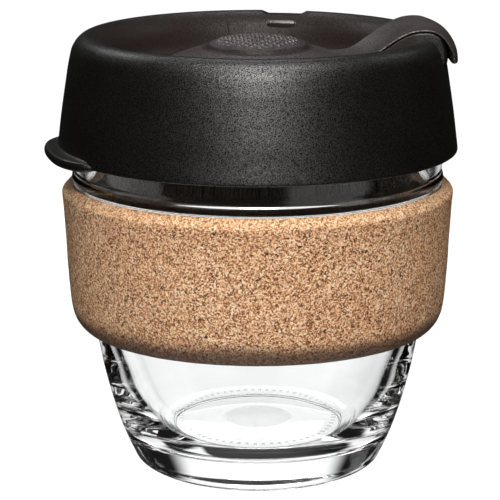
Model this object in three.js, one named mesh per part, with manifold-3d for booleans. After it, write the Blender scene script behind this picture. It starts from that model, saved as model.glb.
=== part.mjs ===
// Reusable glass travel cup: a heavy-based glass tumbler, an agglomerate cork
// heat band, a press-on lid with a raised drinking mouth, and a soft swivel
// plug made of a domed hub and a hooked sealing arm.
// Units are millimetres, +Z is up. The origin is the centre of the flat
// underside of the glass; the plug's arm points along +X when it is closed.
import * as THREE from 'three';
import { mergeVertices } from 'three/addons/utils/BufferGeometryUtils.js';
import Module from 'manifold-3d';

const wasm = await Module();
wasm.setup();

// ---------------------------------------------------------------- dimensions
const SEG = 48;               // facets of a full turn on the large bodies
const FINE = 96;              // facets of a full turn on the arm and the mouth
const GAP = 0.3;              // clearance between neighbouring pieces

const GLASS_TOP = 82.0;       // top of the glass brim
const GLASS_FLOOR = 7.8;      // top of the thick glass floor
const GROOVE_R = 20.6;        // middle of the ring groove under the base
const GROOVE_D = 0.5;         // its depth

const BAND_BOTTOM = 32.4;     // lowest point of the cork band
const BAND_TOP = 64.9;        // highest point of the cork band

const SKIRT_BOTTOM = 71.8;    // lower edge of the lid
const RIM_TOP = 97.1;         // crest of the lid's rounded rim
const RECESS_FLOOR = 88.0;    // upper face of the dished top's floor
const FLOOR_T = 2.0;          // thickness of that floor
const STEM_HOLE_R = 4.0;      // hole that the plug's stem turns in

const TAB_AZ = -168.5;        // direction of the thumb tab, degrees
const TAB_C = 31.5;           // centre of its oval outline from the axis
const TAB_A = 15.9;           // radial half axis of the oval
const TAB_B = 19.5;           // tangential half axis of the oval
const TAB_Z0 = 71.5;
const TAB_Z1 = 73.1;

const ARM_HALF_W = 12.0;      // half width of the arm
const ARM_ROOT_X = 20.0;      // living hinge between hub and arm
const ARM_T = 0.8;            // thickness of the arm over the mouth
const HOOK_Z0 = 90.3;         // lowest point of the hook
const HOOK_Z1 = 95.3;         // where the hook's outline starts to round in

const MOUTH_HALF_W = 12.15;   // half width of the raised mouth
const SLOT_X0 = 30.6;         // drinking slot, radial span
const SLOT_X1 = 36.0;
const SLOT_HALF_W = 6.0;      // drinking slot, half width

const NOTCH_AZ = 78.0;        // parking notch, degrees
const NOTCH_TOP_HALF = 5.9;
const NOTCH_FLOOR_HALF = 3.9;
const NOTCH_DEPTH = 0.9;
const RIB_AZ = 101.0;         // stop rib on the recess wall, degrees

const DOME_R = 50.0;          // radius of the plug's dome
const DOME_TOP = 95.4;        // its apex
const HUB_R = 23.0;           // edge of the dome
const STEM_R = STEM_HOLE_R - GAP;
const PAD_R = 10.8;           // raised grip pad on the dome
const PAD_H = 0.5;

// ------------------------------------------------------------------- helpers
// Closed polygon of [r, z] pairs, counter-clockwise with r to the right,
// turned round the Z axis.
function turned(profile, segments) {
  const pts = profile.map(([r, z]) => new THREE.Vector2(r, z));
  const onAxis = profile[0][0] === 0 && profile[profile.length - 1][0] === 0;
  if (!onAxis) pts.push(pts[0].clone());
  const g = new THREE.LatheGeometry(pts, segments);
  g.rotateX(Math.PI / 2);
  return toSolid(g);
}

// Merge shared vertices, drop collapsed triangles and make an outward solid.
function toSolid(geometry) {
  let g = geometry.clone();
  g.deleteAttribute('normal');
  g.deleteAttribute('uv');
  g = mergeVertices(g, 1e-4);
  const p = g.getAttribute('position');
  const idx = Array.from(g.index.array);
  const tri = [];
  for (let i = 0; i < idx.length; i += 3) {
    const [a, b, c] = [idx[i], idx[i + 1], idx[i + 2]];
    if (a !== b && b !== c && a !== c) tri.push(a, b, c);
  }
  const A = new THREE.Vector3(), B = new THREE.Vector3(), C = new THREE.Vector3();
  let volume = 0;
  for (let i = 0; i < tri.length; i += 3) {
    A.fromBufferAttribute(p, tri[i]);
    B.fromBufferAttribute(p, tri[i + 1]);
    C.fromBufferAttribute(p, tri[i + 2]);
    volume += A.dot(B.cross(C));
  }
  if (volume < 0) {
    for (let i = 0; i < tri.length; i += 3) {
      const t = tri[i + 1]; tri[i + 1] = tri[i + 2]; tri[i + 2] = t;
    }
  }
  return new wasm.Manifold(new wasm.Mesh({
    numProp: 3,
    vertProperties: Float32Array.from(p.array),
    triVerts: Uint32Array.from(tri),
  }));
}

function toGeometry(solid) {
  const m = solid.getMesh();
  const n = m.vertProperties.length / m.numProp;
  const pos = new Float32Array(n * 3);
  for (let i = 0; i < n; i++) {
    for (let k = 0; k < 3; k++) pos[3 * i + k] = m.vertProperties[m.numProp * i + k];
  }
  const g = new THREE.BufferGeometry();
  g.setAttribute('position', new THREE.BufferAttribute(pos, 3));
  g.setIndex(new THREE.BufferAttribute(Uint32Array.from(m.triVerts), 1));
  g.computeVertexNormals();
  return g;
}

// Polygon of [u, v] pairs pushed along a direction. The matrix carries
// u, v and the push direction to their places.
function pushed(polygon, depth, matrix) {
  const shape = new THREE.Shape(polygon.map(([u, v]) => new THREE.Vector2(u, v)));
  const g = new THREE.ExtrudeGeometry(shape, { depth, bevelEnabled: false, steps: 1 });
  g.applyMatrix4(matrix);
  return toSolid(g);
}

// u along +Y, v along +Z, pushed along +X from x0.
function alongX(x0) {
  return new THREE.Matrix4().set(0, 0, 1, x0, 1, 0, 0, 0, 0, 1, 0, 0, 0, 0, 0, 1);
}

function spun(solid, degrees) {
  const m = new THREE.Matrix4().makeRotationZ(THREE.MathUtils.degToRad(degrees));
  return solid.transform(m.elements);
}

// Parallel copy of an open polyline, moved to its right-hand side by d.
function offset(line, d) {
  return line.map((p, i) => {
    const a = line[Math.max(i - 1, 0)], b = line[Math.min(i + 1, line.length - 1)];
    const dx = b[0] - a[0], dz = b[1] - a[1], l = Math.hypot(dx, dz);
    return [p[0] + (d * dz) / l, p[1] - (d * dx) / l];
  });
}

const domeZ = (r) => DOME_TOP - (DOME_R - Math.sqrt(DOME_R * DOME_R - r * r));

// ------------------------------------------------------------- glass tumbler
// Outer wall from the foot to the brim.
const GLASS_OUTER = [
  [22.6, 0], [24.6, 0.35], [26.2, 1.15], [27.3, 2.1], [28.25, 4.0], [29.2, 6.0],
  [30.8, 10.0], [32.1, 14.0], [33.25, 18.0], [34.7, 24.0], [36.3, 33.0],
  [38.35, 48.0], [40.25, 63.0], [40.8, 67.5], [41.0, 72.0], [41.0, 80.2],
  [40.6, 81.4], [39.7, GLASS_TOP],
];
// Inner wall from the brim down to the floor.
const GLASS_INNER = [
  [38.9, 81.6], [38.4, 80.4], [38.3, 76.0], [37.9, 68.0], [37.3, 62.0],
  [35.2, 45.0], [33.0, 33.0], [31.1, 25.5], [28.8, 18.7], [26.2, 13.2],
  [24.2, 10.4], [22.3, 8.6], [20.4, GLASS_FLOOR],
];
const glassProfile = [
  [0, 0], [GROOVE_R - 0.8, 0], [GROOVE_R - 0.4, GROOVE_D],
  [GROOVE_R + 0.4, GROOVE_D], [GROOVE_R + 0.8, 0],
  ...GLASS_OUTER, ...GLASS_INNER, [0, GLASS_FLOOR],
];
const glass = turned(glassProfile, SEG);

// ----------------------------------------------------------------- cork band
const glassR = (z) => {
  for (let i = 1; i < GLASS_OUTER.length; i++) {
    const [r0, z0] = GLASS_OUTER[i - 1], [r1, z1] = GLASS_OUTER[i];
    if (z <= z1) return r0 + ((r1 - r0) * (z - z0)) / (z1 - z0);
  }
  return GLASS_OUTER[GLASS_OUTER.length - 1][0];
};
const bandProfile = [
  [glassR(33.4) + GAP, 33.4], [37.6, BAND_BOTTOM + 0.1], [38.5, BAND_BOTTOM],
  [39.6, 33.2], [40.6, 34.4], [41.2, 36.0], [41.75, 40.0], [42.2, 46.0],
  [42.6, 54.0], [43.05, 60.0], [43.3, 63.2], [43.0, 64.1], [42.2, 64.8],
  [41.4, BAND_TOP], [40.8, 64.5], [glassR(63.0) + GAP, 63.0],
  [glassR(48.0) + GAP, 48.0],
];
const band = turned(bandProfile, SEG);

// ----------------------------------------------------------------------- lid
const LID_OUTSIDE = [
  [43.75, SKIRT_BOTTOM], [44.0, 72.1], [43.97, 72.6], [43.55, 76.0],
  [43.05, 80.0], [42.45, 84.0], [41.82, 88.0], [41.5, 90.0], [41.1, 92.0],
  [40.6, 94.0], [40.1, 95.0], [39.3, 96.05], [38.3, 96.8],
  [37.3, RIM_TOP],
];
const RECESS_WALL = [
  [36.3, 96.95], [35.2, 96.4], [34.2, 95.7], [33.2, 94.7], [32.3, 93.5],
  [31.6, 92.1], [31.0, 90.7], [30.2, 89.5], [29.0, 88.6], [27.5, 88.15],
  [26.0, RECESS_FLOOR],
];
const LID_INSIDE = [
  [STEM_HOLE_R, RECESS_FLOOR], [STEM_HOLE_R, RECESS_FLOOR - FLOOR_T],
  [35.6, RECESS_FLOOR - FLOOR_T], [36.2, 85.2], [36.2, 78.6], [36.7, 78.2],
  [37.4, 78.2], [37.75, 80.0], [37.9, 83.0], [37.9, 86.6], [37.3, 87.4],
  [34.0, 87.7], [33.3, 88.6], [33.6, 91.0], [34.5, 93.0], [35.6, 94.4],
  [36.8, 95.0], [37.7, 94.7], [38.4, 93.6], [39.0, 91.0], [39.5, 86.0],
  [39.7, GLASS_TOP + 0.35], [41.3, GLASS_TOP + 0.35], [41.35, 72.2],
  [41.7, SKIRT_BOTTOM],
];
const lidBody = turned([...LID_OUTSIDE, ...RECESS_WALL, ...LID_INSIDE], SEG);

// The arm's upper surface over the mouth, from the living hinge to the hook.
const ARM_TOP = [
  [19.0, 91.75], [20.5, 91.5], [22.2, 91.5], [24.0, 91.9], [25.8, 93.0],
  [27.2, 94.15], [28.4, 95.0], [29.6, 95.9], [30.8, 96.8], [32.0, 97.6],
  [33.2, 98.25], [34.6, 98.8], [36.1, 99.08], [37.6, 99.15], [38.8, 99.0],
  [39.9, 98.6], [41.0, 97.85], [42.0, 96.7], [42.8, 95.4], [43.4, 93.9],
];
const OVER_MOUTH = ARM_TOP.slice(4, 17);
const armUnder = offset(OVER_MOUTH, ARM_T);
const mouthTop = offset(OVER_MOUTH, ARM_T + GAP);

// Raised drinking mouth: a ramp out of the recess, over the rim and down the
// outer flank, solid down to the recess floor so that the slot has walls.
const mouthProfile = [
  [24.9, 87.0], [38.6, 87.0], [40.3, 90.2], [41.35, 90.9], [41.62, 92.6],
  [41.5, 94.6],
  ...mouthTop.slice().reverse(),
];
const mouthBox = pushed(
  [[-MOUTH_HALF_W, 80], [MOUTH_HALF_W, 80], [MOUTH_HALF_W, 105], [-MOUTH_HALF_W, 105]],
  30, alongX(20));
const mouth = turned(mouthProfile, FINE).intersect(mouthBox);

// Drinking slot with round ends, straight down into the cup.
const slotShape = [];
const slotR = (SLOT_X1 - SLOT_X0) / 2, slotC = (SLOT_X0 + SLOT_X1) / 2;
for (let i = 0; i <= 12; i++) {
  const a = (Math.PI * i) / 12;
  slotShape.push([slotC + slotR * Math.cos(a), SLOT_HALF_W - slotR + slotR * Math.sin(a)]);
}
for (let i = 0; i <= 12; i++) {
  const a = Math.PI + (Math.PI * i) / 12;
  slotShape.push([slotC + slotR * Math.cos(a), -SLOT_HALF_W + slotR + slotR * Math.sin(a)]);
}
const slot = pushed(slotShape, 20, new THREE.Matrix4().makeTranslation(0, 0, 82));

// Thumb tab: an oval plate on the skirt's lower edge.
const tabShape = [];
for (let i = 0; i <= 20; i++) {
  const a = -Math.PI / 2 + (Math.PI * i) / 20;
  tabShape.push([TAB_C + TAB_A * Math.cos(a), TAB_B * Math.sin(a)]);
}
const tabPlate = pushed(tabShape, TAB_Z1 - TAB_Z0,
  new THREE.Matrix4().makeTranslation(0, 0, TAB_Z0));
const tabInside = turned([[0, 70], [42.6, 70], [42.6, 75], [0, 75]], SEG);
const tab = spun(tabPlate, TAB_AZ).subtract(tabInside);

// Parking notch in the rim, with a small seat behind it on the recess wall.
const notchFloor = RIM_TOP - NOTCH_DEPTH;
const notch = spun(pushed([
  [-NOTCH_FLOOR_HALF, notchFloor], [NOTCH_FLOOR_HALF, notchFloor],
  [NOTCH_TOP_HALF, RIM_TOP + 0.3], [-NOTCH_TOP_HALF, RIM_TOP + 0.3],
], 15, alongX(30)), NOTCH_AZ);
const seatWide = 2 * NOTCH_FLOOR_HALF;
const seat = spun(pushed(
  [[31.5, 91.0], [35.0, 91.0], [35.0, 95.6], [31.9, 95.2], [31.5, 94.7]],
  seatWide,
  new THREE.Matrix4().set(1, 0, 0, 0, 0, 0, -1, seatWide / 2, 0, 1, 0, 0, 0, 0, 0, 1),
), NOTCH_AZ);

// Stop rib on the recess wall.
const rib = spun(pushed(
  [[29.0, 87.6], [34.2, 87.6], [34.2, 95.2], [32.7, 95.0], [31.6, 93.7],
    [30.9, 92.3], [30.3, 90.9], [29.6, 90.0]],
  1.2,
  new THREE.Matrix4().set(1, 0, 0, 0, 0, 0, -1, 0.6, 0, 1, 0, 0, 0, 0, 0, 1),
), RIB_AZ);

const lid = lidBody.add(mouth).add(tab).add(seat).subtract(notch).add(rib).subtract(slot);

// ------------------------------------------------------------------ plug hub
// Domed shell with a raised grip pad, a stem through the lid and a snap collar.
const COLLAR_TOP = RECESS_FLOOR - FLOOR_T - GAP;
const hubProfile = [
  [0, 83.6], [3.2, 83.6], [5.4, 85.0], [5.4, COLLAR_TOP], [STEM_R, COLLAR_TOP],
  [STEM_R, 91.6], [5.0, 92.8], [8.0, domeZ(8.0) - 1.8], [13.0, domeZ(13.0) - 1.8],
  [18.0, domeZ(18.0) - 1.8], [20.6, 89.0], [21.0, RECESS_FLOOR + GAP],
  [22.7, RECESS_FLOOR + GAP], [23.1, 88.8], [HUB_R, 89.7], [22.0, domeZ(22.0)],
  [17.0, domeZ(17.0)], [PAD_R + 0.4, domeZ(PAD_R + 0.4)],
  [PAD_R, domeZ(PAD_R) + PAD_H], [6.0, domeZ(6.0) + PAD_H],
  [0, DOME_TOP + PAD_H],
];
const hubKeep = pushed([[-30, 80], [30, 80], [30, 105], [-30, 105]],
  30 + ARM_ROOT_X - GAP / 2, alongX(-30));
const hub = turned(hubProfile, SEG).intersect(hubKeep);

// ------------------------------------------------------------------ plug arm
const armProfile = [
  [19.0, 89.7], [23.5, 89.9], [24.3, 90.8],
  ...armUnder,
  [41.75, 95.0], [42.0, 93.4], [42.1, 90.6], [42.35, 90.2], [43.4, 90.2],
  [43.75, 90.7], [43.7, 92.3],
  ...ARM_TOP.slice().reverse(),
];
const armFlat = pushed(
  [[-ARM_HALF_W, 80], [ARM_HALF_W, 80], [ARM_HALF_W, 105], [-ARM_HALF_W, 105]],
  39 - (ARM_ROOT_X + GAP / 2), alongX(ARM_ROOT_X + GAP / 2));
const tongue = [[ARM_HALF_W, 105], [-ARM_HALF_W, 105]];
for (let i = 0; i <= 16; i++) {
  const a = Math.PI + (Math.PI * i) / 16;
  tongue.push([ARM_HALF_W * Math.cos(a), HOOK_Z1 + (HOOK_Z1 - HOOK_Z0) * Math.sin(a)]);
}
const armTip = pushed(tongue, 10, alongX(38.5));
const arm = turned(armProfile, FINE).intersect(armFlat.add(armTip));

// --------------------------------------------------------------------- group
function piece(name, solid, options) {
  const mesh = new THREE.Mesh(toGeometry(solid), new THREE.MeshStandardMaterial(options));
  mesh.name = name;
  return mesh;
}

const cup = new THREE.Group();
cup.add(piece('glass_tumbler', glass,
  { color: 0xe6eeee, roughness: 0.03, metalness: 0, transparent: true, opacity: 0.35 }));
cup.add(piece('cork_band', band, { color: 0xb9875a, roughness: 0.9, metalness: 0 }));
cup.add(piece('lid', lid, { color: 0x16130f, roughness: 0.6, metalness: 0 }));
const plug = new THREE.Group();
plug.add(piece('plug_hub', hub, { color: 0x1b1716, roughness: 0.5, metalness: 0 }));
plug.add(piece('plug_arm', arm, { color: 0x1b1716, roughness: 0.5, metalness: 0 }));
cup.add(plug);

export default cup;
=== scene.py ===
import math

import bmesh
import bpy
import numpy as np
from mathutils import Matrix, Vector


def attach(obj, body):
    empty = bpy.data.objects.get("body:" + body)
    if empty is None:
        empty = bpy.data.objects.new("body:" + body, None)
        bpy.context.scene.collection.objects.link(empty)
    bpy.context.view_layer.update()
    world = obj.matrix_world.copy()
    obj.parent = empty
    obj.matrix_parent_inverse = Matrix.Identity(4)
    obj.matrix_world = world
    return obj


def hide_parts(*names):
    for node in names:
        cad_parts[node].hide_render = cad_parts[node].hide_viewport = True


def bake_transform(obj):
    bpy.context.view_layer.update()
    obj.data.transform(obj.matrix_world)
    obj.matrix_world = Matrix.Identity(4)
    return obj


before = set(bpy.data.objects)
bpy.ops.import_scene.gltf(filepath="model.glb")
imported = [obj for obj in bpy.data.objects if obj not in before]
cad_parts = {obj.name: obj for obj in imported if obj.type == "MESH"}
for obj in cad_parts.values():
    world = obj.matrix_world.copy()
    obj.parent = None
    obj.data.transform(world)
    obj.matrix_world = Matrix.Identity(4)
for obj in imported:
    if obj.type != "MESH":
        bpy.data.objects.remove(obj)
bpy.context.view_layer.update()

MM = 0.001
scene = bpy.context.scene

# ------------------------------------------------------------------ camera
cam_data = bpy.data.cameras.new("camera")
cam_data.lens = 176.9
cam_data.sensor_width = 36.0
cam_data.shift_x = -0.0152
cam_data.clip_start = 0.01
cam_data.clip_end = 30.0
camera = bpy.data.objects.new("camera", cam_data)
camera.location = (-0.023243, -0.532348, 0.174195)
camera.rotation_euler = (math.radians(76.714), 0.0, math.radians(-2.5))
scene.collection.objects.link(camera)
scene.camera = camera


# ------------------------------------------------------------ mesh helpers
def new_object(name, verts_mm, faces, weld=0.0):
    """Mesh object from millimetre vertices, with outward normals."""
    mesh = bpy.data.meshes.new(name)
    mesh.from_pydata([tuple(float(c) * MM for c in v) for v in verts_mm], [],
                     [tuple(int(i) for i in f) for f in faces])
    bm = bmesh.new()
    bm.from_mesh(mesh)
    if weld:
        bmesh.ops.remove_doubles(bm, verts=bm.verts, dist=weld * MM)
    bmesh.ops.recalc_face_normals(bm, faces=bm.faces)
    bm.to_mesh(mesh)
    bm.free()
    obj = bpy.data.objects.new(name, mesh)
    scene.collection.objects.link(obj)
    return obj


def rounded(points, step, corners=()):
    """Smooth curve through the points (centripetal Catmull-Rom), broken at the corners."""
    p = np.asarray(points, float)
    stops = sorted({0, len(p) - 1, *[c % len(p) for c in corners]})
    out = []
    for a, b in zip(stops[:-1], stops[1:]):
        q = p[a:b + 1]
        if len(q) == 2:
            n = max(1, int(math.ceil(np.linalg.norm(q[1] - q[0]) / (step * 6))))
            out += [q[0] + (q[1] - q[0]) * i / n for i in range(n)]
            continue
        e = np.vstack([2 * q[0] - q[1], q, 2 * q[-1] - q[-2]])
        for i in range(1, len(e) - 2):
            p0, p1, p2, p3 = e[i - 1:i + 3]
            t = [0.0]
            for u, v in ((p0, p1), (p1, p2), (p2, p3)):
                t.append(t[-1] + max(np.linalg.norm(v - u), 1e-6) ** 0.5)
            n = max(2, int(math.ceil(np.linalg.norm(p2 - p1) / step)))
            for k in range(n):
                x = t[1] + (t[2] - t[1]) * k / n
                a1 = (t[1] - x) / (t[1] - t[0]) * p0 + (x - t[0]) / (t[1] - t[0]) * p1
                a2 = (t[2] - x) / (t[2] - t[1]) * p1 + (x - t[1]) / (t[2] - t[1]) * p2
                a3 = (t[3] - x) / (t[3] - t[2]) * p2 + (x - t[2]) / (t[3] - t[2]) * p3
                b1 = (t[2] - x) / (t[2] - t[0]) * a1 + (x - t[0]) / (t[2] - t[0]) * a2
                b2 = (t[3] - x) / (t[3] - t[1]) * a2 + (x - t[1]) / (t[3] - t[1]) * a3
                out.append((t[2] - x) / (t[2] - t[1]) * b1 + (x - t[1]) / (t[2] - t[1]) * b2)
    out.append(p[-1])
    return np.array(out)


def turned(profile, n, move=None):
    """Solid of revolution. The profile is a closed loop, or runs from axis to axis."""
    prof = np.asarray(profile, float)
    open_ends = prof[0][0] < 1e-9 and prof[-1][0] < 1e-9
    ang = np.arange(n) * 2 * math.pi / n
    verts, rings = [], []
    for r, z in prof:
        if r < 1e-9:
            rings.append([len(verts)])
            verts.append((0.0, 0.0, z))
        else:
            base = len(verts)
            rings.append(list(range(base, base + n)))
            verts += list(zip(r * np.cos(ang), r * np.sin(ang), np.full(n, z)))
    faces = []
    m = len(rings)
    for i in range(m - 1 if open_ends else m):
        a, b = rings[i], rings[(i + 1) % m]
        for j in range(n):
            k = (j + 1) % n
            if len(a) == 1 and len(b) == 1:
                continue
            if len(a) == 1:
                faces.append((a[0], b[j], b[k]))
            elif len(b) == 1:
                faces.append((a[j], a[k], b[0]))
            else:
                faces.append((a[j], a[k], b[k], b[j]))
    verts = np.array(verts)
    if move is not None:
        verts = move(verts)
    return verts, faces


def smooth_shade(obj, degrees=35.0):
    obj.data.shade_smooth()
    obj.data.set_sharp_from_angle(angle=math.radians(degrees))


def boolean(obj, tool, operation):
    mod = obj.modifiers.new("cut", "BOOLEAN")
    mod.object = tool
    mod.operation = operation
    mod.solver = "EXACT"
    dg = bpy.context.evaluated_depsgraph_get()
    mesh = bpy.data.meshes.new_from_object(obj.evaluated_get(dg))
    obj.modifiers.remove(mod)
    old = obj.data
    obj.data = mesh
    bpy.data.meshes.remove(old)
    tool_mesh = tool.data
    bpy.data.objects.remove(tool)
    bpy.data.meshes.remove(tool_mesh)


def bevelled(obj, width_mm, segments=3, angle=30.0):
    mod = obj.modifiers.new("soften", "BEVEL")
    mod.width = width_mm * MM
    mod.segments = segments
    mod.limit_method = "ANGLE"
    mod.angle_limit = math.radians(angle)
    dg = bpy.context.evaluated_depsgraph_get()
    mesh = bpy.data.meshes.new_from_object(obj.evaluated_get(dg))
    obj.modifiers.remove(mod)
    old = obj.data
    obj.data = mesh
    bpy.data.meshes.remove(old)


def prism(name, polygon, place, depth_a, depth_b, grow=1):
    """Polygon of (u, v) pushed from depth_a to depth_b; place maps (u, v, depth) to x, y, z."""
    n = len(polygon)
    levels = [depth_a + (depth_b - depth_a) * i / grow for i in range(grow + 1)]
    verts = [place(u, v, d) for d in levels for u, v in polygon]
    faces = [tuple(range(n)), tuple(range(grow * n, grow * n + n))]
    for g in range(grow):
        for i in range(n):
            j = (i + 1) % n
            faces.append((g * n + i, g * n + j, (g + 1) * n + j, (g + 1) * n + i))
    return new_object(name, verts, faces)


# --------------------------------------------------------- node graph helper
class Graph:
    """Small helper that builds a shader node tree."""

    def __init__(self, tree):
        self.tree = tree
        self.n = tree.nodes
        self.n.clear()

    def node(self, kind, inputs=None, **attrs):
        node = self.n.new(kind)
        for k, v in attrs.items():
            setattr(node, k, v)
        for k, v in (inputs or {}).items():
            self.set(node, k, v)
        return node

    def set(self, node, key, value):
        sock = node.inputs[key]
        if isinstance(value, bpy.types.NodeSocket):
            self.tree.links.new(value, sock)
        else:
            sock.default_value = value

    def math(self, op, a, b=0.0, c=0.0, clamp=False):
        node = self.n.new("ShaderNodeMath")
        node.operation = op
        node.use_clamp = clamp
        for i, v in enumerate((a, b, c)):
            self.set(node, i, v)
        return node.outputs[0]

    def span(self, value, a, b, c=0.0, d=1.0, kind="SMOOTHSTEP"):
        node = self.n.new("ShaderNodeMapRange")
        node.interpolation_type = kind
        node.clamp = True
        for k, v in (("Value", value), ("From Min", a), ("From Max", b), ("To Min", c), ("To Max", d)):
            self.set(node, k, v)
        return node.outputs[0]

    def mix(self, fac, a, b, kind="MIX"):
        node = self.n.new("ShaderNodeMix")
        node.data_type = "RGBA"
        node.blend_type = kind
        self.set(node, 0, fac)
        self.set(node, 6, a)
        self.set(node, 7, b)
        return node.outputs[2]

    def noise(self, vector, scale, detail=2.0, rough=0.5, warp=0.0):
        node = self.node("ShaderNodeTexNoise", {"Vector": vector, "Scale": scale, "Detail": detail,
                                                "Roughness": rough, "Distortion": warp})
        return node.outputs[0]

    def ramp(self, value, stops):
        node = self.n.new("ShaderNodeValToRGB")
        el = node.color_ramp.elements
        while len(el) < len(stops):
            el.new(0.5)
        for e, (pos, col) in zip(el, stops):
            e.position = pos
            e.color = (*col, 1.0)
        self.set(node, 0, value)
        return node.outputs[0]


def material(name):
    mat = bpy.data.materials.new(name)
    mat.use_nodes = True
    g = Graph(mat.node_tree)
    out = g.node("ShaderNodeOutputMaterial")
    bsdf = g.node("ShaderNodeBsdfPrincipled")
    g.tree.links.new(bsdf.outputs[0], out.inputs[0])
    coord = g.node("ShaderNodeTexCoord").outputs["Object"]
    return mat, g, bsdf, coord


# ---------------------------------------------------------------- materials
def make_glass():
    mat, g, b, co = material("clear_glass_body")
    xyz = g.node("ShaderNodeSeparateXYZ", {0: co})
    x, y, z = xyz.outputs
    r = g.math("SQRT", g.math("ADD", g.math("MULTIPLY", x, x), g.math("MULTIPLY", y, y)))
    # a generic frosted moulding mark on the base: a plain disc with a ring of dots round it
    low = g.math("MULTIPLY", g.span(z, 0.0084, 0.0081), g.span(z, 0.0070, 0.0076))
    disc = g.math("MULTIPLY", g.span(r, 0.0082, 0.0076), low)
    ang = g.math("ARCTAN2", y, x)
    dots = g.span(g.math("SINE", g.math("MULTIPLY", ang, 64.0)), 0.05, 0.35)
    band = g.math("MULTIPLY", g.span(r, 0.0174, 0.0176), g.span(r, 0.0188, 0.0186))
    mark = g.math("MAXIMUM", disc, g.math("MULTIPLY", g.math("MULTIPLY", dots, band), low), clamp=True)
    frost = g.noise(co, 900.0, 3.0, 0.6)
    smear = g.noise(co, 60.0, 3.0, 0.55)
    rough = g.span(smear, 0.45, 0.8, 0.0, 0.012)
    rough = g.math("ADD", rough, g.math("MULTIPLY", mark, g.span(frost, 0.3, 0.7, 0.14, 0.24)))
    g.set(b, "Roughness", rough)
    g.set(b, "Base Color", g.mix(mark, (0.992, 0.998, 0.996, 1), (0.42, 0.42, 0.42, 1)))
    b.inputs["Transmission Weight"].default_value = 1.0
    b.inputs["IOR"].default_value = 1.5
    wave = g.noise(co, 75.0, 2.0, 0.5, 0.4)
    bump = g.node("ShaderNodeBump", {"Height": wave, "Strength": 0.05, "Distance": 0.0003})
    g.set(b, "Normal", bump.outputs[0])
    return mat


def make_cork(name, painted_shade):
    mat, g, b, co = material(name)
    grain = g.noise(co, 2600.0, 2.5, 0.55, 0.9)
    worm = g.noise(co, 1450.0, 2.0, 0.5, 1.6)
    mixg = g.math("ADD", g.math("MULTIPLY", grain, 0.62), g.math("MULTIPLY", worm, 0.38))
    colour = g.ramp(mixg, [(0.385, (0.035, 0.011, 0.004)), (0.432, (0.20, 0.072, 0.024)),
                           (0.478, (0.52, 0.245, 0.105)), (0.525, (0.92, 0.545, 0.285)),
                           (0.578, (1.00, 0.830, 0.610))])
    cells = g.node("ShaderNodeTexVoronoi", {"Vector": co, "Scale": 780.0, "Randomness": 1.0})
    tint = g.node("ShaderNodeSeparateColor", {0: cells.outputs["Color"]})
    colour = g.mix(g.span(tint.outputs[0], 0.0, 1.0, 0.0, 0.18, "LINEAR"), colour,
                   (0.46, 0.22, 0.095, 1))
    broad = g.noise(co, 60.0, 3.0, 0.6)
    colour = g.mix(g.span(broad, 0.35, 0.65, 0.0, 0.22), colour, (0.80, 0.52, 0.33, 1), "MULTIPLY")
    spots = g.noise(co, 1500.0, 1.5, 0.5, 0.6)
    colour = g.mix(g.span(spots, 0.645, 0.69), colour, (0.060, 0.023, 0.010, 1))
    # painted shade: the bore copy of the cork is darkened almost to black-brown, standing in for the shade
    # inside the sleeve
    if painted_shade:
        colour = g.mix(0.93, colour, (0.016, 0.009, 0.006, 1))
    # painted shade: the colour darkens toward dark brown along the sleeve's bottom edge, with a noisy boundary
    z = g.node("ShaderNodeSeparateXYZ", {0: co}).outputs[2]
    low = g.math("ADD", z, g.span(broad, 0.3, 0.7, -0.0004, 0.0004))
    colour = g.mix(g.span(low, 0.0386, 0.0346, 0.0, 0.80), colour, (0.050, 0.018, 0.008, 1))
    cut = g.span(low, 0.0624, 0.0631)                      # painted highlight: the top chamfer's colour is lifted toward pale tan, standing in for light from above
    colour = g.mix(g.math("MULTIPLY", cut, 0.16), colour, (0.98, 0.66, 0.38, 1))
    g.set(b, "Base Color", colour)
    g.set(b, "Roughness", g.span(mixg, 0.38, 0.60, 0.66, 0.42))
    b.inputs["Specular IOR Level"].default_value = 0.42
    pits = g.math("SUBTRACT", mixg, g.math("MULTIPLY", g.span(spots, 0.64, 0.72), 0.35))
    bump = g.node("ShaderNodeBump", {"Height": pits, "Strength": 1.0, "Distance": 0.00058})
    g.set(b, "Normal", bump.outputs[0])
    return mat


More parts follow.
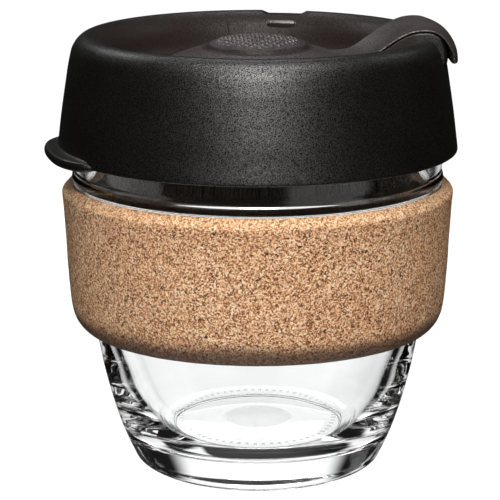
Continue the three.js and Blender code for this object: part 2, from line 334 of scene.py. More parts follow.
def make_lid():
    mat, g, b, co = material("lid_spark_texture")
    fine = g.noise(co, 4600.0, 2.0, 0.6)
    mid = g.noise(co, 2300.0, 2.0, 0.5)
    spark = g.noise(co, 4700.0, 1.5, 0.6)
    broad = g.noise(co, 90.0, 3.0, 0.5)
    height = g.math("ADD", g.math("MULTIPLY", fine, 0.7), g.math("MULTIPLY", mid, 0.3))
    g.set(b, "Roughness", g.math("ADD", g.span(height, 0.35, 0.65, 0.45, 0.36),
                                 g.span(broad, 0.35, 0.65, -0.015, 0.015)))
    xyz = g.node("ShaderNodeSeparateXYZ", {0: co})
    x, y, z = xyz.outputs
    r = g.math("SQRT", g.math("ADD", g.math("MULTIPLY", x, x), g.math("MULTIPLY", y, y)))
    # painted shade: inside the rim the specular level drops to about a quarter, and a flat brown-grey base
    # colour replaces the grain
    recess_painted_shade = g.math("MULTIPLY", g.span(r, 0.0372, 0.0345), g.span(z, 0.0865, 0.0875))
    across = g.math("SUBTRACT", g.math("MULTIPLY", y, math.cos(math.radians(78))),
                    g.math("MULTIPLY", x, math.sin(math.radians(78))))
    seat = g.math("MULTIPLY", g.span(g.math("ABSOLUTE", across), 0.0035, 0.0033), g.span(y, 0.0, 0.005))
    # painted highlight: along the seat's top front edge the specular level is raised well above the rest of the
    # lid
    seat_edge_painted_glint = g.math("MULTIPLY", g.math("MULTIPLY", g.span(z, 0.0945, 0.0948), g.span(r, 0.0336, 0.0332)), seat)
    painted_shade_and_glint_spec = g.math("ADD", g.span(recess_painted_shade, 0.0, 1.0, 1.0, 0.26, "LINEAR"), g.math("MULTIPLY", seat_edge_painted_glint, 1.6))
    g.set(b, "Specular IOR Level", g.math("MULTIPLY", g.span(spark, 0.38, 0.62, 0.05, 1.26, "LINEAR"), painted_shade_and_glint_spec))
    body = g.mix(g.span(height, 0.4, 0.62), (0.0010, 0.0009, 0.0008, 1), (0.0040, 0.0034, 0.0031, 1))
    g.set(b, "Base Color", g.mix(recess_painted_shade, body, (0.0150, 0.0108, 0.0098, 1)))
    bump = g.node("ShaderNodeBump", {"Height": height, "Strength": 1.0, "Distance": 0.00005})
    g.set(b, "Normal", bump.outputs[0])
    return mat


def make_plug():
    mat, g, b, co = material("satin_elastomer")
    fine = g.noise(co, 4200.0, 2.0, 0.5)
    broad = g.noise(co, 120.0, 4.0, 0.6)
    skin = g.mix(g.span(broad, 0.3, 0.7), (0.030, 0.0236, 0.0228, 1), (0.039, 0.0308, 0.0297, 1))
    g.set(b, "Base Color", g.mix(g.span(fine, 0.38, 0.62, 0.0, 0.72), skin, (0.0060, 0.0046, 0.0044, 1)))
    g.set(b, "Roughness", g.math("ADD", g.span(fine, 0.35, 0.65, 0.50, 0.38),
                                 g.span(broad, 0.3, 0.7, -0.03, 0.03)))
    spark = g.noise(co, 3600.0, 1.5, 0.6)
    xyz = g.node("ShaderNodeSeparateXYZ", {0: co})
    r = g.math("SQRT", g.math("ADD", g.math("MULTIPLY", xyz.outputs[0], xyz.outputs[0]),
                              g.math("MULTIPLY", xyz.outputs[1], xyz.outputs[1])))
    # painted shade: in a ring round the grip pad's edge the specular level drops to 0.15, keeping a reflection
    # off the edge
    ring = g.math("MULTIPLY", g.span(r, 0.0102, 0.0108), g.span(r, 0.0124, 0.0121))
    g.set(b, "Specular IOR Level", g.math("MULTIPLY", g.span(spark, 0.39, 0.61, 0.04, 1.75, "LINEAR"),
                                          g.span(ring, 0.0, 1.0, 1.0, 0.15, "LINEAR")))
    bump = g.node("ShaderNodeBump", {"Height": fine, "Strength": 0.8, "Distance": 0.00004})
    g.set(b, "Normal", bump.outputs[0])
    return mat


GLASS_MAT = make_glass()
CORK_MAT = make_cork("agglomerate_cork", False)
# the sleeve's inner face gets a darkened copy of the cork colour: painted shade
CORK_BORE_PAINTED_SHADE = make_cork("cork_bore_painted_shade", True)
LID_MAT = make_lid()
PLUG_MAT = make_plug()

# ------------------------------------------------------------- glass tumbler
GLASS_FLOOR = 7.8
GROOVE_R = 20.6
OUTER = [
    (22.6, 0), (24.6, 0.35), (26.2, 1.15), (27.3, 2.1), (28.25, 4.0), (29.2, 6.0),
    (30.8, 10.0), (32.1, 14.0), (33.25, 18.0), (34.7, 24.0), (36.3, 33.0),
    (38.35, 48.0), (40.25, 63.0), (40.8, 67.5), (41.0, 72.0), (41.0, 80.2),
    (40.6, 81.4), (39.7, 82.0)]
FOOT_TO_NECK = OUTER[:13]
BEAD = [(40.38, 64.1), (40.50, 64.55), (40.80, 64.95), (40.92, 65.7), (40.90, 66.4),
        (40.68, 66.95), (40.60, 67.5), (40.70, 68.4), (40.88, 70.0)]
BRIM = [(41.0, 72.0), (41.0, 76.0), (41.0, 80.2), (40.6, 81.4), (39.7, 82.0)]
INNER = [
    (38.9, 81.6), (38.4, 80.4), (38.3, 76.0), (37.9, 68.0), (37.3, 62.0),
    (35.2, 45.0), (33.0, 33.0), (31.1, 25.5), (28.8, 18.7), (26.2, 13.2),
    (24.2, 10.4), (22.3, 8.6), (20.4, GLASS_FLOOR)]
wall = rounded(FOOT_TO_NECK + BEAD + BRIM + INNER + [(19.6, GLASS_FLOOR)], 0.55)
base = rounded([(0.0, 0.0), (6.0, 0.0), (14.0, 0.0), (GROOVE_R - 1.0, 0.0),
                (GROOVE_R - 0.75, 0.03), (GROOVE_R - 0.5, 0.36), (GROOVE_R - 0.2, 0.5),
                (GROOVE_R + 0.2, 0.5), (GROOVE_R + 0.5, 0.36), (GROOVE_R + 0.75, 0.03),
                (GROOVE_R + 1.0, 0.0), (22.6, 0.0)], 0.3, corners=(1, 2, 3, 10, 11))
floor_in = np.array([(16.0, GLASS_FLOOR), (11.0, GLASS_FLOOR), (5.0, GLASS_FLOOR), (0.0, GLASS_FLOOR)])
verts, faces = turned(np.vstack([base[:-1], wall, floor_in]), 288)
glass = new_object("glass_body", verts, faces)
glass.data.shade_smooth()
glass.data.set_sharp_from_angle(angle=math.radians(50))
glass.data.materials.append(GLASS_MAT)
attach(glass, "glass")
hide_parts("glass_tumbler")
glass.visible_shadow = False


# ----------------------------------------------------------------- cork band
def glass_r(z):
    for (r0, z0), (r1, z1) in zip(OUTER[:-1], OUTER[1:]):
        if z <= z1:
            return r0 + (r1 - r0) * (z - z0) / (z1 - z0)
    return OUTER[-1][0]


band_out = rounded([(glass_r(33.4) + 0.3, 33.4), (37.2, 32.65), (37.8, 32.45), (38.5, 32.42), (39.1, 32.7),
                    (39.8, 33.35), (40.6, 34.5), (41.2, 36.1), (41.75, 40.0), (42.2, 46.0),
                    (42.6, 54.0), (43.0, 60.0), (43.19, 62.1), (43.20, 62.6), (43.05, 63.0), (42.7, 63.4),
                    (42.1, 64.05), (41.6, 64.55), (41.3, 64.7), (41.1, 64.68), (40.85, 64.4),
                    (glass_r(63.0) + 0.3, 63.0)], 0.24, corners=(20,))
band_in = np.array([(glass_r(48 + 3 * k) + 0.3, 48.0 + 3 * k) for k in (4, 3, 2, 1, 0)]
                   + [(glass_r(z) + 0.3, z) for z in (44.0, 40.0, 36.5)])
outer_count = len(band_out)
prof = np.vstack([band_out, band_in])
CORK_SEG = 560


def cork_surface(v):
    """Pulls the outer skin in by a few hundredths, granule by granule, so the edge isn't a lathe's."""
    n = CORK_SEG
    m = len(v) // n
    rng = np.random.default_rng(11)
    lift = np.zeros((m, n))
    for cells, amount in ((3, 0.030), (7, 0.045)):
        rough = rng.random((m // cells + 3, n // cells + 1))
        rough[:, -1] = rough[:, 0]
        iy = np.linspace(0, rough.shape[0] - 1.001, m)
        ix = np.linspace(0, rough.shape[1] - 1.001, n, endpoint=False)
        y0, x0 = iy.astype(int), ix.astype(int)
        fy, fx = (iy - y0)[:, None], (ix - x0)[None, :]
        fy, fx = fy * fy * (3 - 2 * fy), fx * fx * (3 - 2 * fx)
        g = (rough[np.ix_(y0, x0)] * (1 - fy) * (1 - fx) + rough[np.ix_(y0 + 1, x0)] * fy * (1 - fx)
             + rough[np.ix_(y0, x0 + 1)] * (1 - fy) * fx + rough[np.ix_(y0 + 1, x0 + 1)] * fy * fx)
        lift += amount * g
    skin = np.zeros(m)
    skin[2:outer_count - 2] = 1.0
    v = v.reshape(m, n, 3).copy()
    p = prof
    t = np.roll(p, -1, 0) - np.roll(p, 1, 0)
    nrm = np.stack([t[:, 1], -t[:, 0]], 1)
    nrm /= np.linalg.norm(nrm, axis=1)[:, None] + 1e-9
    rad = np.hypot(v[..., 0], v[..., 1])
    d = -(lift * skin[:, None])
    scale = (rad + d * nrm[:, 0][:, None]) / rad
    v[..., 0] *= scale
    v[..., 1] *= scale
    v[..., 2] += d * nrm[:, 1][:, None]
    return v.reshape(-1, 3)


verts, faces = turned(prof, CORK_SEG, cork_surface)
cork = new_object("cork_sleeve", verts, faces)
cork.data.shade_smooth()
cork.data.materials.append(CORK_MAT)
cork.data.materials.append(CORK_BORE_PAINTED_SHADE)
index = np.zeros(len(cork.data.polygons), np.int32)
index[(outer_count - 1) * CORK_SEG:] = 1
cork.data.polygons.foreach_set("material_index", index)
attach(cork, "cork_band")
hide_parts("cork_band")

# ----------------------------------------------------------------------- lid
RIM_TOP = 97.1
ARM_TOP = [
    (19.0, 91.75), (20.5, 91.5), (22.2, 91.5), (24.0, 91.9), (25.8, 93.0),
    (27.2, 94.15), (28.4, 95.0), (29.6, 95.9), (30.8, 96.8), (32.0, 97.6),
    (33.2, 98.25), (34.6, 98.8), (36.1, 99.08), (37.6, 99.135), (38.8, 99.0),
    (39.9, 98.6), (41.0, 97.85), (42.0, 96.7), (42.8, 95.4), (43.4, 93.9)]
lid_face = rounded([
    (43.75, 71.8), (43.93, 71.9), (44.0, 72.15), (43.96, 72.7), (43.55, 76.0),
    (43.05, 80.0), (42.45, 84.0), (41.82, 88.0), (41.5, 90.0), (41.1, 92.0),
    (40.6, 94.0), (40.1, 95.0), (39.3, 96.05), (38.3, 96.8), (37.3, RIM_TOP),
    (36.3, 96.95), (35.2, 96.4), (34.2, 95.7), (33.2, 94.7), (32.3, 93.5),
    (31.6, 92.1), (31.0, 90.7), (30.2, 89.5), (29.0, 88.6), (27.5, 88.15),
    (26.0, 88.0)], 0.5)
lid_hidden = np.array([
    (18.0, 88.0), (10.0, 88.0), (4.0, 88.0), (4.0, 86.0), (16.0, 86.0), (27.0, 86.0),
    (35.6, 86.0), (36.2, 85.2), (36.2, 78.6), (36.7, 78.2), (37.4, 78.2), (37.75, 80.0),
    (37.9, 83.0), (37.9, 86.6), (37.3, 87.4), (34.0, 87.7), (33.3, 88.6), (33.6, 91.0),
    (34.5, 93.0), (35.6, 94.4), (36.8, 95.0), (37.7, 94.7), (38.4, 93.6), (39.0, 91.0),
    (39.5, 86.0), (39.7, 82.35), (41.3, 82.35), (41.35, 72.2), (41.7, 71.8)])
verts, faces = turned(np.vstack([lid_face, lid_hidden]), 320)
lid = new_object("lid_shell", verts, faces)


def offset(line, d):
    line = np.asarray(line, float)
    t = np.empty_like(line)
    t[1:-1] = line[2:] - line[:-2]
    t[0], t[-1] = line[1] - line[0], line[-1] - line[-2]
    t /= np.linalg.norm(t, axis=1)[:, None]
    return line + d * np.stack([t[:, 1], -t[:, 0]], 1)


# raised drinking mouth: a turned ramp with rounded long edges
over = rounded(ARM_TOP[4:17], 0.7)
def crown_at(depth):
    top = offset(over, depth)
    flank = rounded([tuple(top[-1]), (41.30, 95.6), (41.56, 94.2), (41.62, 92.6), (41.35, 90.9)], 0.5)
    if len(flank) != FLANK_N:
        u = np.linspace(0, len(flank) - 1, FLANK_N)
        flank = np.stack([np.interp(u, np.arange(len(flank)), flank[:, c]) for c in (0, 1)], 1)
    return np.vstack([top, flank[1:]])


FLANK_N = 15
HALF, EDGE = 12.15, 0.34
ws = [HALF - EDGE * (1 - math.sin(a)) for a in np.linspace(0, math.pi / 2, 7)]
ws = [-w for w in reversed(ws)] + list(np.linspace(-HALF + EDGE, HALF - EDGE, 49)[1:-1]) + ws
root = [(40.3, 90.2), (38.6, 87.0), (24.9, 87.0)]
verts, count = [], len(over) + FLANK_N - 1 + len(root)
for w in ws:
    over_edge = max(0.0, abs(w) - (HALF - EDGE))
    drop = EDGE - math.sqrt(max(EDGE * EDGE - over_edge * over_edge, 0.0))
    lift = min(max((abs(w) - 9.6) / 1.7, 0.0), 1.0)
    crown = crown_at(0.95 - 0.33 * lift * lift * (3 - 2 * lift))
    crown_n = offset(crown, 1.0) - crown
    for (r, z) in list(crown + crown_n * drop) + root:
        verts.append((math.sqrt(r * r - w * w), w, z))
faces = [tuple(range(count)), tuple(range((len(ws) - 1) * count, len(ws) * count))]
for i in range(len(ws) - 1):
    for k in range(count):
        m = (k + 1) % count
        faces.append((i * count + k, i * count + m, (i + 1) * count + m, (i + 1) * count + k))
mouth = new_object("mouth_block", verts, faces)

# thumb tab: lofted lip that flares out of the skirt's lower edge
TAB_AZ, TAB_C, TAB_A, TAB_B = math.radians(-168.5), 31.5, 15.30, 19.5
outline = []
for a in np.linspace(-math.pi / 2, math.pi / 2, 721):
    c, q = math.cos(a), math.sin(a)
    px, py = TAB_C + TAB_A * abs(c) ** 0.77, TAB_B * math.copysign(abs(q) ** 0.77, q)
    outline.append((math.hypot(px, py), math.atan2(py, px)))
outline = np.array(outline)
SKIRT_R = 43.95
half_tab = max(abs(outline[outline[:, 0] > SKIRT_R - 0.35, 1]))
order = np.argsort(outline[:, 1])
out_az, out_r = outline[order, 1], outline[order, 0]
cols = np.linspace(-half_tab, half_tab, 121)
Z0, Z1 = 71.05, 73.15
verts, count = [], None
for a in cols:
    tip = float(np.interp(a, out_az, out_r))
    reach = max(tip - SKIRT_R, 0.0)
    thick = 1.0 if reach > 1.2 else 0.45 + 0.55 * reach / 1.2
    z_hi = 71.8 + (Z1 - 71.8) * thick
    z_lo = Z0 + (1 - thick) * 1.2
    rho = min(0.62, (z_hi - z_lo) * 0.46)
    ring = [(42.8, z_lo + 0.35), (42.8, z_hi + 1.3)]
    root_r = 43.5
    fil = min(1.3, reach * 0.55 + 0.1)
    for t in np.linspace(0, 1, 8):                    # concave fillet down from the skirt
        ang = t * math.pi / 2
        ring.append((root_r + fil * (1 - math.cos(ang)), z_hi + fil * (1 - math.sin(ang))))
    edge_c = max(tip - rho, root_r + fil + 0.02)
    for t in np.linspace(0, 1, 5)[1:-1]:
        ring.append((root_r + fil + (edge_c - root_r - fil) * t, z_hi))
    for t in np.linspace(0, 1, 9):
        ang = math.pi / 2 - t * math.pi
        ring.append((edge_c + rho * math.cos(ang), (z_hi + z_lo) / 2 + (z_hi - z_lo) / 2 * math.sin(ang)))
    for t in np.linspace(0, 1, 5)[1:]:
        ring.append((edge_c + (43.3 - edge_c) * t, z_lo))
    count = len(ring)
    for r, z in ring:
        verts.append((r * math.cos(a + TAB_AZ), r * math.sin(a + TAB_AZ), z))
faces = [tuple(range(count)), tuple(range((len(cols) - 1) * count, len(cols) * count))]
for i in range(len(cols) - 1):
    for k in range(count):
        m = (k + 1) % count
        faces.append((i * count + k, i * count + m, (i + 1) * count + m, (i + 1) * count + k))
tab = new_object("thumb_tab", verts, faces)


def at(az):
    c, s = math.cos(math.radians(az)), math.sin(math.radians(az))
    return lambda r, w, z: (r * c - w * s, r * s + w * c, z)


seat_at, rib_at = at(78.0), at(99.3)
seat = prism("seat", [(32.5, 92.6), (35.0, 92.6), (35.0, 95.6), (32.75, 95.3), (32.4, 94.95), (32.35, 94.3)],
             lambda u, v, d: seat_at(u, d, v), -3.2, 3.2)
bevelled(seat, 0.18)
rib = prism("rib", [(29.0, 87.6), (34.2, 87.6), (34.2, 95.2), (32.7, 95.0), (31.6, 93.7), (30.9, 92.3),
                    (30.3, 90.9), (29.6, 90.0)],
            lambda u, v, d: rib_at(u, d, v), -0.24, 0.24)
bevelled(rib, 0.08)
NOTCH = RIM_TOP - 0.9
notch = prism("notch", [(-3.9, NOTCH), (3.9, NOTCH), (5.9, RIM_TOP + 0.3), (-5.9, RIM_TOP + 0.3)],
              lambda u, v, d: seat_at(d, u, v), 30.0, 45.0)
bevelled(notch, 0.25)
slot_shape = []
for i in range(25):
    a = math.pi * i / 24
    slot_shape.append((33.3 + 2.7 * math.cos(a), 3.3 + 2.7 * math.sin(a)))
for i in range(25):
    a = math.pi + math.pi * i / 24
    slot_shape.append((33.3 + 2.7 * math.cos(a), -3.3 + 2.7 * math.sin(a)))
slot = prism("slot", slot_shape, lambda u, v, d: (u, v, d), 82.0, 102.0)

boolean(lid, mouth, "UNION")
boolean(lid, tab, "UNION")
boolean(lid, seat, "UNION")
boolean(lid, notch, "DIFFERENCE")
boolean(lid, rib, "UNION")
boolean(lid, slot, "DIFFERENCE")
smooth_shade(lid, 34)
lid.data.materials.clear()
lid.data.materials.append(LID_MAT)
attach(lid, "lid")
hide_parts("lid")

# --------------------------------------------------------------- swivel plug
DOME_R, DOME_TOP, HUB_R = 50.0, 95.4, 23.0
PAD_R, PAD_H = 10.8, 0.62
R0 = 18.5                                   # where hub rings hand over to the outer columns
ARM_W = 12.0


def dome(r):
    return DOME_TOP - (DOME_R - np.sqrt(DOME_R ** 2 - np.asarray(r, float) ** 2))


arm_line = rounded([(R0, float(dome(R0))), (19.4, 91.58), (20.6, 91.46)] + ARM_TOP[2:]
                   + [(43.68, 92.3), (43.72, 91.2), (43.72, 89.9)], 0.12)
seg = np.linalg.norm(np.diff(arm_line, axis=0), axis=1)
arm_s = np.concatenate([[0.0], np.cumsum(seg)])
tang = np.gradient(arm_line, arm_s, axis=0)
tang /= np.linalg.norm(tang, axis=1)[:, None]
arm_n = np.stack([-tang[:, 1], tang[:, 0]], 1)


def s_at(r, z):
    return arm_s[np.argmin(np.hypot(arm_line[:, 0] - r, arm_line[:, 1] - z))]


thick_s = [0.0, s_at(20.6, 91.46), s_at(23.4, 91.7), s_at(24.8, 92.3), s_at(26.2, 93.3),
           s_at(41.0, 97.85), s_at(42.8, 95.4), s_at(43.68, 92.3)]
thick_t = [1.8, 1.75, 1.5, 1.0, 0.8, 0.8, 1.15, 1.5]


def on_arm(s):
    p = np.array([np.interp(s, arm_s, arm_line[:, 0]), np.interp(s, arm_s, arm_line[:, 1])])
    n = np.array([np.interp(s, arm_s, arm_n[:, 0]), np.interp(s, arm_s, arm_n[:, 1])])
    return p, n / np.linalg.norm(n), float(np.interp(s, thick_s, thick_t))


HOOK_Z0, HOOK_Z1 = 90.3, 95.3


def arm_end(theta):
    """Arc length at which a radial column meets the arm's outline."""
    w = arm_line[:, 0] * math.sin(theta)
    z_low = HOOK_Z1 - (HOOK_Z1 - HOOK_Z0) * np.sqrt(np.clip(1 - (w / ARM_W) ** 2, 0, 1))
    slack = np.minimum(ARM_W - w, np.where(arm_line[:, 0] > 38.5, arm_line[:, 1] - z_low, 9.0))
    bad = np.nonzero(slack <= 0)[0]
    if len(bad) == 0:
        return arm_s[-1]
    i = bad[0]
    a, b = slack[i - 1], slack[i]
    return arm_s[i - 1] + (arm_s[i] - arm_s[i - 1]) * a / (a - b)


S_RIM = s_at(HUB_R, 91.55)


def smooth_max(a, b, k):
    h = max(k - abs(a - b), 0.0) / k
    return max(a, b) + h * h * k * 0.25


def column_end(theta):
    return smooth_max(arm_end(theta), S_RIM, 3.2) if theta > 0.35 else arm_end(theta)


# equal steps along the outline, so that the parallel edges of the arm are finely cut
grid = np.concatenate([np.linspace(0, 0.32, 500), np.linspace(0.32, 0.62, 400)[1:], np.linspace(0.62, math.pi, 600)[1:]])
ends = np.array([column_end(t) for t in grid])
pts = []
for t, s in zip(grid, ends):
    (r, z), _, _ = on_arm(s)
    pts.append((r * math.cos(t), r * math.sin(t), z))
pts = np.array(pts)
length = np.concatenate([[0.0], np.cumsum(np.linalg.norm(np.diff(pts, axis=0), axis=1))])
half_n = int(round(length[-1] / 0.46))
theta_half = np.interp(np.linspace(0, length[-1], half_n + 1), length, grid)
along = np.gradient(pts, length, axis=0)
theta = np.concatenate([theta_half, -theta_half[1:-1][::-1]])

pad_rings = np.linspace(0.0, PAD_R + 1.2, 62)[1:]
mid_rings = np.linspace(PAD_R + 1.2, R0, 13)[1:]
N_MAIN, N_EDGE = 46, 11
under_hub = [(16.4, None), (13.0, None), (10.0, None), (8.0, None), (6.4, 93.1), (5.0, 92.8), (4.2, 92.3),
             (3.7, 91.6), (3.7, 88.6), (3.7, 85.75), (3.8, 85.65), (5.3, 85.65), (5.4, 85.55), (5.4, 85.05),
             (5.3, 84.92), (3.3, 83.65), (3.1, 83.6), (1.5, 83.6)]
hub_edge = rounded([(21.9, float(dome(21.9))), (22.5, float(dome(22.5)) - 0.02), (22.86, 89.75), (23.02, 89.4),
                    (23.08, 88.9), (22.98, 88.5), (22.7, 88.32), (21.9, 88.3), (21.2, 88.34), (20.95, 88.6),
                    (20.6, 89.05), (19.6, 89.65)], 0.12)


def hub_column():
    """Top, edge and underside of the hub's rim as N_MAIN + N_EDGE + N_MAIN points."""
    r = np.linspace(R0, 21.9, N_MAIN + 1)[1:]
    top = np.stack([r, dome(r)], 1)
    d = np.concatenate([[0.0], np.cumsum(np.linalg.norm(np.diff(hub_edge, axis=0), axis=1))])
    u = np.linspace(0, d[-1], N_EDGE + 2)[1:-1]
    edge = np.stack([np.interp(u, d, hub_edge[:, 0]), np.interp(u, d, hub_edge[:, 1])], 1)
    a, b = hub_edge[-1], np.array([R0, float(dome(R0)) - 1.8])
    under = np.array([a + (b - a) * k / (N_MAIN - 1) for k in range(N_MAIN)])
    return np.vstack([top, edge, under])


def thinned(thick, w, r):
    """Thickness of the arm, which feathers towards its two long edges over the mouth."""
    u = min(max((w - 9.6) / 2.0, 0.0), 1.0) * min(max((r - 24.0) / 2.5, 0.0), 1.0)
    return thick + (min(0.42, thick) - thick) * u * u * (3 - 2 * u)


def arm_column(t, end, stretch):
    """The same points for a column that runs out along the arm."""
    p, _, thick = on_arm(end)
    thick = thinned(thick, p[0] * math.sin(abs(t)), p[0])
    back = min(stretch * thick / 2, end * 0.5)
    centre = end - back
    u = np.linspace(0, 1, N_MAIN + 1)[1:]
    stations = centre * (1 - (1 - u) ** 1.25)
    top, under = [], []
    for s in stations:
        p, n, th = on_arm(s)
        th = thinned(th, p[0] * math.sin(abs(t)), p[0])
        top.append(p)
        under.append(p - n * th)
    p, n, th = on_arm(centre)
    th = thinned(th, p[0] * math.sin(abs(t)), p[0])
    out = np.array([n[1], -n[0]])
    mid = p - n * th / 2
    edge = []
    for k in range(1, N_EDGE + 1):
        a = math.pi / 2 - math.pi * k / (N_EDGE + 1)
        ca, sa = math.cos(a), math.sin(a)
        ca = math.copysign(abs(ca) ** 0.8, ca)
        edge.append(mid + n * (th / 2) * sa + out * back * ca)
    return np.vstack([top, edge, under[::-1]])


hub_col = hub_column()
columns = []
for t in theta:
    a = abs(t)
    end = column_end(a)
    i = np.searchsorted(grid, a)
    i = min(max(i, 0), len(grid) - 1)
    tan = along[i] / np.linalg.norm(along[i])
    _, n, _ = on_arm(end)
    d = np.array([n[1] * math.cos(a), n[1] * math.sin(a), -n[0]])
    stretch = 1.0 / max(np.linalg.norm(np.cross(tan, d)), 0.3)
    k = min(max((a - 0.50) / (0.98 - 0.50), 0.0), 1.0)
    k = k * k * (3 - 2 * k)
    col = (1 - k) * arm_column(t, end, stretch) + k * hub_col if k < 1 else hub_col
    columns.append(col)
columns = np.array(columns)                 # column, point, (r, z)


def pad_height(r, x, y):
    """The raised grip pad, with a generic field of small round pips."""
    h = PAD_H * np.clip((PAD_R + 0.45 - r) / 0.6, 0, 1) ** 2 * (3 - 2 * np.clip((PAD_R + 0.45 - r) / 0.6, 0, 1))
    pitch = 1.72
    row = y / (pitch * 0.8660254)
    j = np.floor(row + 0.5)
    xo = (j % 2) * 0.5
    i = np.floor(x / pitch - xo + 0.5) + xo
    best = 9.0
    for dj in (-1, 0, 1):
        jj = j + dj
        off = (jj % 2) * 0.5
        ii = np.floor(x / pitch - off + 0.5) + off
        best = min(best, math.hypot(x - ii * pitch, y - jj * pitch * 0.8660254))
    edge = min(max((9.3 - r) / 0.5, 0.0), 1.0)
    pip = max(0.0, 1 - (best / 0.62) ** 2)
    groove = 0.30 * math.exp(-((r - PAD_R - 0.72) / 0.26) ** 2)
    return float(h) + 0.46 * edge * pip ** 0.6 - groove


verts, rings = [], []
m = len(theta)
cos_t, sin_t = np.cos(theta), np.sin(theta)


def add_ring(rs, zs):
    base = len(verts)
    verts.extend(zip(rs * cos_t, rs * sin_t, zs))
    rings.append(list(range(base, base + m)))


verts.append((0.0, 0.0, float(dome(0.0)) + pad_height(0.0, 0.0, 0.0)))
rings.append([0])
for r in pad_rings:
    zs = np.array([float(dome(r)) + pad_height(r, r * c, r * s) for c, s in zip(cos_t, sin_t)])
    add_ring(np.full(m, r), zs)
for r in mid_rings:
    add_ring(np.full(m, r), np.full(m, float(dome(r))))
for k in range(columns.shape[1]):
    add_ring(columns[:, k, 0], columns[:, k, 1])
for r, z in under_hub:
    add_ring(np.full(m, r), np.full(m, float(dome(r)) - 1.8 if z is None else z))
rings.append([len(verts)])
verts.append((0.0, 0.0, 83.6))
faces = []
for a, b in zip(rings[:-1], rings[1:]):
    for j in range(m):
        k = (j + 1) % m
        if len(a) == 1:
            faces.append((a[0], b[j], b[k]))
        elif len(b) == 1:
            faces.append((a[j], a[k], b[0]))
        else:
            faces.append((a[j], a[k], b[k], b[j]))
plug = new_object("swivel_plug", verts, faces)
plug.data.shade_smooth()
plug.data.set_sharp_from_angle(angle=math.radians(60))
plug.data.materials.append(PLUG_MAT)
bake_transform(plug)
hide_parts("plug_hub", "plug_arm")

# --------------------------------------------------------------------- stage
floor_mesh = bpy.data.meshes.new("floor")
bm = bmesh.new()
bmesh.ops.create_circle(bm, cap_ends=True, segments=96, radius=6.0)
bm.to_mesh(floor_mesh)
bm.free()
floor = bpy.data.objects.new("floor", floor_mesh)
floor.location.z = -0.0002
scene.collection.objects.link(floor)
mat = bpy.data.materials.new("pale_floor")
mat.use_nodes = True
g = Graph(mat.node_tree)
out = g.node("ShaderNodeOutputMaterial")
co = g.node("ShaderNodeTexCoord").outputs["Object"]
dist = g.node("ShaderNodeVectorMath", {0: co}, operation="LENGTH").outputs["Value"]
far = g.span(dist, 0.10, 0.55)
tone = g.noise(co, 9.0, 3.0, 0.5)
paint = g.node("ShaderNodeBsdfDiffuse", {"Color": g.mix(far, (0.30, 0.30, 0.30, 1), (0.03, 0.03, 0.03, 1))})
glow = g.node("ShaderNodeEmission", {"Color": (1, 1, 1, 1),
                                     "Strength": g.math("ADD", g.span(far, 0.0, 1.0, 0.72, 0.985, "LINEAR"),
                                                        g.span(tone, 0.3, 0.7, -0.004, 0.004))})
both = g.node("ShaderNodeAddShader", {0: paint.outputs[0], 1: glow.outputs[0]})
g.tree.links.new(both.outputs[0], out.inputs[0])
mat.cycles.emission_sampling = "NONE"
floor_mesh.materials.append(mat)
floor.visible_diffuse = False
floor.visible_glossy = False
floor.visible_transmission = False


# -------------------------------------------------------------------- lights
def softbox(name, where, size, power, at=(0, 0, 0.06), colour=(1, 1, 1)):
    data = bpy.data.lights.new(name, "AREA")
    data.shape = "RECTANGLE"
    data.size, data.size_y = size
    data.energy = power
    data.color = colour
    obj = bpy.data.objects.new(name, data)
    obj.location = where
    obj.rotation_euler = (Vector(at) - Vector(where)).to_track_quat("-Z", "Y").to_euler()
    scene.collection.objects.link(obj)
    return obj


softbox("key", (-0.03, -0.98, 0.62), (0.44, 0.24), 12.4, colour=(1.0, 0.965, 0.935))
softbox("top_front", (0.0, -0.40, 1.0), (0.60, 0.18), 8.0, colour=(1.0, 0.965, 0.935))
softbox("rear_high", (0.0, 0.50, 1.0), (0.40, 0.26), 1.6)
softbox("rear_left", (-0.62, 0.62, 0.90), (0.40, 0.30), 2.0)
softbox("rear_right", (0.80, 0.45, 0.90), (0.34, 0.30), 0.7)
for name, where, power in (("rear_fill", (0.0, 0.98, 0.55), 7.0), ("side_left", (-0.98, 0.25, 0.55), 0.15),
                           ("side_right", (0.98, 0.25, 0.55), 0.6)):
    fill = softbox(name, where, (0.45, 0.36), power)
    fill.visible_glossy = False

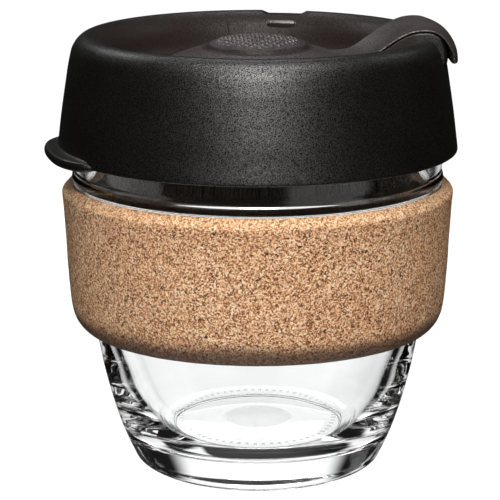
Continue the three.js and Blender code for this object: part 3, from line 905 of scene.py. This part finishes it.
world = bpy.data.worlds.new("studio")
scene.world = world
world.use_nodes = True
g = Graph(world.node_tree)
out = g.node("ShaderNodeOutputWorld")
direction = g.node("ShaderNodeTexCoord").outputs["Generated"]
xyz = g.node("ShaderNodeSeparateXYZ", {0: direction})
azimuth = g.math("MULTIPLY", g.math("ARCTAN2", xyz.outputs[1], xyz.outputs[0]), 180 / math.pi)
height = g.math("MULTIPLY", g.math("ARCSINE", xyz.outputs[2]), 180 / math.pi)


def panel(centre, half, soft, low, high):
    """A white panel of the studio, seen only through the glass."""
    off = g.math("ABSOLUTE", g.math("SUBTRACT", azimuth, centre))
    off = g.math("MINIMUM", off, g.math("ABSOLUTE", g.math("SUBTRACT", off, 360.0)))
    wide = g.span(off, half + soft, half)
    tall = g.math("MULTIPLY", g.span(height, low - 4.0, low), g.span(height, high + 6.0, high))
    return g.math("MULTIPLY", wide, tall)


panels = panel(88.0, 22.0, 11.0, -36.0, 44.0)
panels = g.math("MAXIMUM", panels, panel(85.0, 16.0, 9.0, -49.0, -30.0))
panels = g.math("MAXIMUM", panels, panel(180.0, 17.0, 10.0, -52.0, 24.0))
panels = g.math("MAXIMUM", panels, panel(-45.0, 22.0, 11.0, -56.0, 26.0))
panels = g.math("MAXIMUM", panels, panel(141.0, 9.0, 6.0, -60.0, -26.0))
panels = g.math("MAXIMUM", panels, panel(136.0, 15.0, 8.0, 28.0, 50.0))
through = g.span(panels, 0.0, 1.0, 0.010, 1.07, "LINEAR")
path = g.node("ShaderNodeLightPath")
level = g.math("ADD", g.math("MULTIPLY", path.outputs["Is Camera Ray"], 1.0),
               g.math("MULTIPLY", path.outputs["Is Transmission Ray"], through))
level = g.math("ADD", level, g.math("MULTIPLY", path.outputs["Is Diffuse Ray"], 0.015))
below = g.span(height, -48.0, -56.0, 0.006, 0.95)      # the white floor, as the foot's facets reflect it
level = g.math("ADD", level, g.math("MULTIPLY", path.outputs["Is Reflection Ray"], below))
back = g.node("ShaderNodeBackground", {"Color": (1, 1, 1, 1), "Strength": level})
g.tree.links.new(back.outputs[0], out.inputs[0])
world.cycles.sampling_method = "NONE"

scene.cycles.sample_clamp_indirect = 4.0
scene.cycles.max_bounces = 32
scene.cycles.glossy_bounces = 24
scene.cycles.transmission_bounces = 24
scene.view_settings.view_transform = "Standard"
scene.view_settings.look = "None"
scene.view_settings.exposure = 0.0
scene.view_settings.gamma = 1.0
